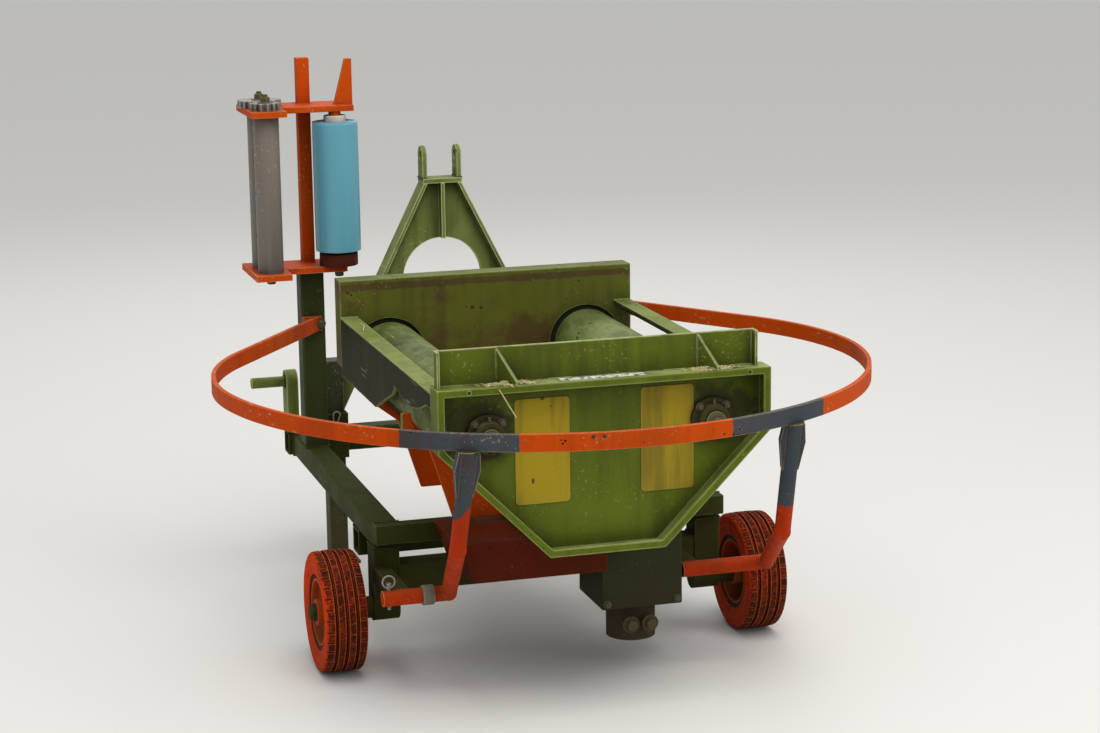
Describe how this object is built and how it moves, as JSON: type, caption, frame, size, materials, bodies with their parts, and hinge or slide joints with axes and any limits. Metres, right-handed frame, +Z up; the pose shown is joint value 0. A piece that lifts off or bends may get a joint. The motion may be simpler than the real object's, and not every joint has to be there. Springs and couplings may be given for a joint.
{
  "type": "mini round bale wrapper",
  "caption": "Linkage-mounted mini bale wrapper: a turning cradle with two rollers on a low wheeled frame, with a guard hoop, film dispenser and three-point hitch mast.",
  "frame": {"origin": "on the ground at the middle of the outline's box, under the cradle's front half", "axes": "+Z up, +Y towards the hitch, +X to the right seen from the guard hoop's side"},
  "size_m": [1.2044, 1.3519, 1.06],
  "materials": {
    "frame_green": "worn satin",
    "frame_dark_green": "worn satin",
    "cradle_green": "worn satin",
    "orange_paint": "worn satin",
    "bare_steel": "dull",
    "motor_black": "greasy",
    "tyre": "overpainted rubber",
    "film": "glossy stretch film",
    "core": "matt card",
    "disc_red": "dirty"
  },
  "bodies": {
    "frame": {"side_rails": "frame_green", "legs": "frame_green", "cross_beams": "frame_green", "rear_cross_beam": "frame_green", "pedestal": "frame_dark_green", "drive_cover": "orange_paint", "motor_box": "frame_dark_green", "slew_motor": "motor_black", "hitch_mast": "frame_green", "top_link_ears": "frame_green", "hitch_pins": "frame_green", "dispenser_mast": "frame_dark_green", "guard_rear_post": "frame_dark_green", "guard_hoop": "orange_paint", "guard_posts": "orange_paint", "guard_brackets": "frame_green", "dispenser_base": "orange_paint", "dispenser_post": "orange_paint", "dispenser_top": "orange_paint", "stand_sleeves": "frame_green"},
    "film_roll": {"film": "film", "film_core": "core", "roll_disc": "disc_red"},
    "stretch_a": {"stretch_roller_a": "bare_steel"},
    "stretch_b": {"stretch_roller_b": "bare_steel"},
    "stand_l": {"stand_left": "bare_steel"},
    "stand_r": {"stand_right": "bare_steel"},
    "table": {"turntable_hub": "bare_steel", "bottom_beam": "cradle_green", "carrier_plates": "orange_paint", "front_end_plate": "cradle_green", "rear_end_plate": "cradle_green", "side_beam_left": "cradle_green", "side_beam_right": "cradle_green", "front_board": "cradle_green", "bearing_housings": "cradle_green", "chain_case": "cradle_green"},
    "roller_l": {"roller_left": "cradle_green"},
    "roller_r": {"roller_right": "cradle_green"},
    "wheel_l": {"tyre_left": "tyre", "rim_left": "orange_paint"},
    "wheel_r": {"tyre_right": "tyre", "rim_right": "orange_paint"}
  },
  "joints": [
    {"name": "table_turn", "type": "hinge", "parent": "frame", "child": "table", "pos_m": [0, -0.072, 0.27], "axis": [0, 0, 1], "continuous": true},
    {"name": "roller_left_turn", "type": "hinge", "parent": "table", "child": "roller_l", "pos_m": [-0.2, -0.072, 0.496], "axis": [0, 1, 0], "continuous": true},
    {"name": "roller_right_turn", "type": "hinge", "parent": "table", "child": "roller_r", "pos_m": [0.2, -0.072, 0.496], "axis": [0, 1, 0], "continuous": true},
    {"name": "wheel_left_turn", "type": "hinge", "parent": "frame", "child": "wheel_l", "pos_m": [-0.4, -0.097, 0.111], "axis": [1, 0, 0], "continuous": true},
    {"name": "wheel_right_turn", "type": "hinge", "parent": "frame", "child": "wheel_r", "pos_m": [0.4, -0.097, 0.111], "axis": [1, 0, 0], "continuous": true},
    {"name": "film_turn", "type": "hinge", "parent": "frame", "child": "film_roll", "pos_m": [-0.26, 0.453, 0.8], "axis": [0, 0, 1], "continuous": true},
    {"name": "stretch_a_turn", "type": "hinge", "parent": "frame", "child": "stretch_a", "pos_m": [-0.405, 0.474, 0.8], "axis": [0, 0, 1], "continuous": true},
    {"name": "stretch_b_turn", "type": "hinge", "parent": "frame", "child": "stretch_b", "pos_m": [-0.405, 0.408, 0.8], "axis": [0, 0, 1], "continuous": true},
    {"name": "stand_left_slide", "type": "slide", "parent": "frame", "child": "stand_l", "axis": [0, 0, 1], "range_m": [0, 0.2]},
    {"name": "stand_right_slide", "type": "slide", "parent": "frame", "child": "stand_r", "axis": [0, 0, 1], "range_m": [0, 0.2]}
  ],
  "couplings": [
    {"joint": "roller_right_turn", "follows": "roller_left_turn", "ratio": 1},
    {"joint": "stretch_b_turn", "follows": "stretch_a_turn", "ratio": -1.5385}
  ]
}
